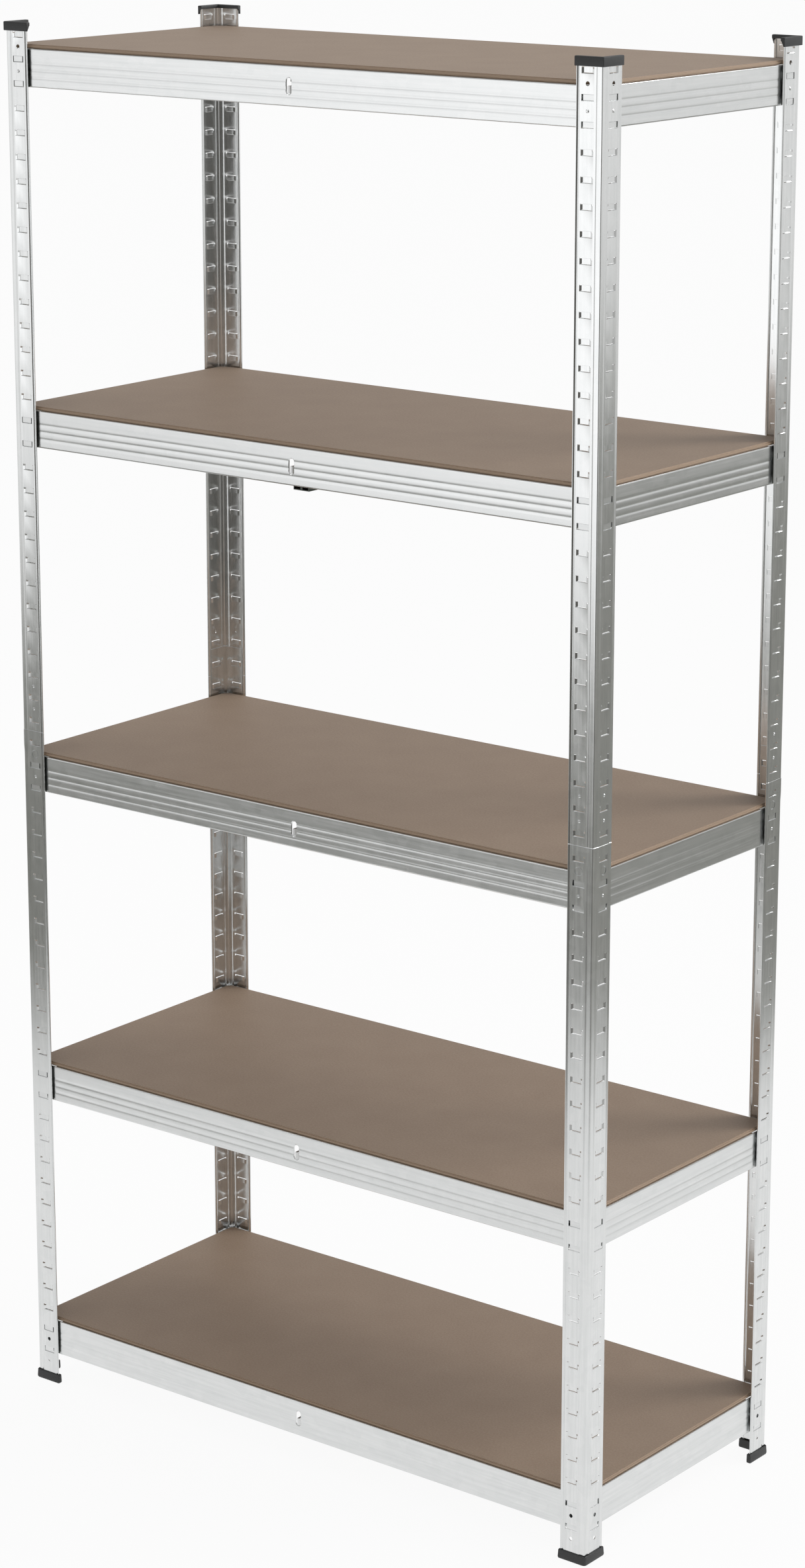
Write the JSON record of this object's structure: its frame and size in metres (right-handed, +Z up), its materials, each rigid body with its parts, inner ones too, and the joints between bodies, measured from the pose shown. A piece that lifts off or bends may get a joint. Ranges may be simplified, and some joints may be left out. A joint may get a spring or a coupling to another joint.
{
  "type": "boltless steel shelving",
  "caption": "Freestanding boltless shelving: slotted galvanised angle posts in spliced halves, ribbed beams hung by lugs, loose hardboard shelves, black plastic caps and feet",
  "frame": {"origin": "on the floor, at the centre of the footprint", "axes": "+X to the right along the long side, +Y from front to back, +Z up"},
  "size_m": [0.9068, 0.4068, 1.8],
  "materials": {
    "upright": "galvanised, satin",
    "splice": "galvanised, satin",
    "beam": "galvanised, satin",
    "strut": "galvanised, satin",
    "plastic": "moulded, matte",
    "hardboard": "pressed fibre, smooth and matte"
  },
  "bodies": {
    "frame": {"upright_lower_front_left": "upright", "upright_lower_front_right": "upright", "upright_lower_back_right": "upright", "upright_lower_back_left": "upright", "upright_upper_front_left": "upright", "upright_upper_front_right": "upright", "upright_upper_back_right": "upright", "upright_upper_back_left": "upright", "splice_front_left": "splice", "splice_front_right": "splice", "splice_back_right": "splice", "splice_back_left": "splice", "cap_front_left": "plastic", "cap_front_right": "plastic", "cap_back_right": "plastic", "cap_back_left": "plastic", "foot_front_left": "plastic", "foot_front_right": "plastic", "foot_back_right": "plastic", "foot_back_left": "plastic", "beam_front_1": "beam", "beam_front_2": "beam", "beam_front_3": "beam", "beam_front_4": "beam", "beam_front_5": "beam", "beam_back_1": "beam", "beam_back_2": "beam", "beam_back_3": "beam", "beam_back_4": "beam", "beam_back_5": "beam", "beam_right_1": "beam", "beam_right_2": "beam", "beam_right_3": "beam", "beam_right_4": "beam", "beam_right_5": "beam", "beam_left_1": "beam", "beam_left_2": "beam", "beam_left_3": "beam", "beam_left_4": "beam", "beam_left_5": "beam", "strut_1": "strut", "strut_2": "strut", "strut_3": "strut", "strut_4": "strut", "strut_5": "strut"},
    "board_1": {"board_1": "hardboard"},
    "board_2": {"board_2": "hardboard"},
    "board_3": {"board_3": "hardboard"},
    "board_4": {"board_4": "hardboard"},
    "board_5": {"board_5": "hardboard"}
  },
  "joints": [
    {"name": "board_1_lift", "type": "slide", "parent": "frame", "child": "board_1", "axis": [0, 0, 1], "range_m": [0, 0.12]},
    {"name": "board_2_lift", "type": "slide", "parent": "frame", "child": "board_2", "axis": [0, 0, 1], "range_m": [0, 0.12]},
    {"name": "board_3_lift", "type": "slide", "parent": "frame", "child": "board_3", "axis": [0, 0, 1], "range_m": [0, 0.12]},
    {"name": "board_4_lift", "type": "slide", "parent": "frame", "child": "board_4", "axis": [0, 0, 1], "range_m": [0, 0.12]},
    {"name": "board_5_lift", "type": "slide", "parent": "frame", "child": "board_5", "axis": [0, 0, 1], "range_m": [0, 0.12]}
  ]
}
